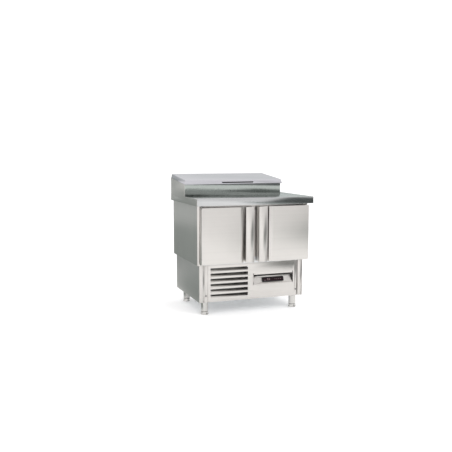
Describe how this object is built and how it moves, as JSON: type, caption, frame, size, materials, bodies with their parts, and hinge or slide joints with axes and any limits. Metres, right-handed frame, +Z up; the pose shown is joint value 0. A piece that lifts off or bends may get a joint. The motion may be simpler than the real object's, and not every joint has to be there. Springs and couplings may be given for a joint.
{
  "type": "sandwich prep table",
  "caption": "Compact refrigerated sandwich prep table: steel cabinet with hinged doors, worktop, raised well of food pans under a sloping hinged lid, louvred bay below, levelling feet.",
  "frame": {"origin": "on the floor, under the middle of the worktop", "axes": "+X to the right seen from the front, +Y from the doors to the rear, +Z up"},
  "size_m": [0.9, 0.68, 1.0039],
  "materials": {
    "satin_steel": "satin, fine grain",
    "liner_steel": "dull satin",
    "plain_steel": "plain drawn",
    "zinc_steel": "zinc plated sheet",
    "coil_fins": "thin pressed fins",
    "black_plastic": "fine textured",
    "display_window": "gloss, dark",
    "black_paint": "semi-gloss black",
    "white_plastic": "moulded",
    "gasket_rubber": "soft, grey"
  },
  "bodies": {
    "cabinet": {"end_cheek_left": "satin_steel", "worktop": "satin_steel", "rail_front": "satin_steel", "rail_back": "satin_steel", "rail_right": "satin_steel", "cabinet_side_left": "satin_steel", "cabinet_side_right": "satin_steel", "cabinet_header": "satin_steel", "door_mullion": "satin_steel", "base_side_left": "satin_steel", "base_side_right": "satin_steel", "service_panel": "satin_steel", "cabinet_back": "liner_steel", "cabinet_floor": "liner_steel", "pan_frame": "liner_steel", "pan_1": "liner_steel", "pan_2": "liner_steel", "pan_3": "liner_steel", "pan_4": "liner_steel", "evaporator_cover": "liner_steel", "shelf_left": "plain_steel", "shelf_right": "plain_steel", "shelf_rack": "plain_steel", "lid_hinge_rod": "plain_steel", "hinge_left_top": "plain_steel", "hinge_left_bottom": "plain_steel", "hinge_right_top": "plain_steel", "hinge_right_bottom": "plain_steel", "leg_front_left": "plain_steel", "leg_front_right": "plain_steel", "leg_rear_left": "plain_steel", "leg_rear_right": "plain_steel", "base_floor": "zinc_steel", "base_back": "zinc_steel", "condenser_shroud": "zinc_steel", "panel_screw_left": "zinc_steel", "panel_screw_right": "zinc_steel", "condenser_coil": "coil_fins", "evaporator_coil": "coil_fins", "controller_body": "black_plastic", "power_inlet": "black_plastic", "controller_window": "display_window", "compressor": "black_paint", "condenser_motor": "black_paint", "evaporator_motor": "black_paint", "condensate_tray": "white_plastic", "electrics_box": "white_plastic"},
    "door_left": {"door_left_shell": "satin_steel", "door_left_handle": "satin_steel", "door_left_gasket": "gasket_rubber"},
    "door_right": {"door_right_shell": "satin_steel", "door_right_handle": "satin_steel", "door_right_gasket": "gasket_rubber"},
    "lid": {"lid": "satin_steel"},
    "condenser_fan": {"condenser_fan": "black_plastic"},
    "evaporator_fan": {"evaporator_fan": "black_plastic"},
    "foot_front_left": {"foot_front_left": "plain_steel"},
    "foot_front_right": {"foot_front_right": "plain_steel"},
    "foot_rear_left": {"foot_rear_left": "plain_steel"},
    "foot_rear_right": {"foot_rear_right": "plain_steel"}
  },
  "joints": [
    {"name": "door_left_hinge", "type": "hinge", "parent": "cabinet", "child": "door_left", "pos_m": [-0.402, -0.3, 0.5865], "axis": [0, 0, -1], "range_deg": [0, 100]},
    {"name": "door_right_hinge", "type": "hinge", "parent": "cabinet", "child": "door_right", "pos_m": [0.402, -0.3, 0.5865], "axis": [0, 0, 1], "range_deg": [0, 100]},
    {"name": "lid_hinge", "type": "hinge", "parent": "cabinet", "child": "lid", "pos_m": [-0.065, 0.3355, 0.979], "axis": [-1, 0, 0], "range_deg": [0, 95]},
    {"name": "condenser_fan_spin", "type": "hinge", "parent": "cabinet", "child": "condenser_fan", "pos_m": [-0.19, -0.1537, 0.2253], "axis": [0, 1, 0], "continuous": true},
    {"name": "evaporator_fan_spin", "type": "hinge", "parent": "cabinet", "child": "evaporator_fan", "pos_m": [0, 0.2427, 0.5], "axis": [0, 1, 0], "continuous": true},
    {"name": "foot_front_left_thread", "type": "slide", "parent": "cabinet", "child": "foot_front_left", "axis": [0, 0, -1], "range_m": [0, 0.025]},
    {"name": "foot_front_right_thread", "type": "slide", "parent": "cabinet", "child": "foot_front_right", "axis": [0, 0, -1], "range_m": [0, 0.025]},
    {"name": "foot_rear_left_thread", "type": "slide", "parent": "cabinet", "child": "foot_rear_left", "axis": [0, 0, -1], "range_m": [0, 0.025]},
    {"name": "foot_rear_right_thread", "type": "slide", "parent": "cabinet", "child": "foot_rear_right", "axis": [0, 0, -1], "range_m": [0, 0.025]}
  ]
}
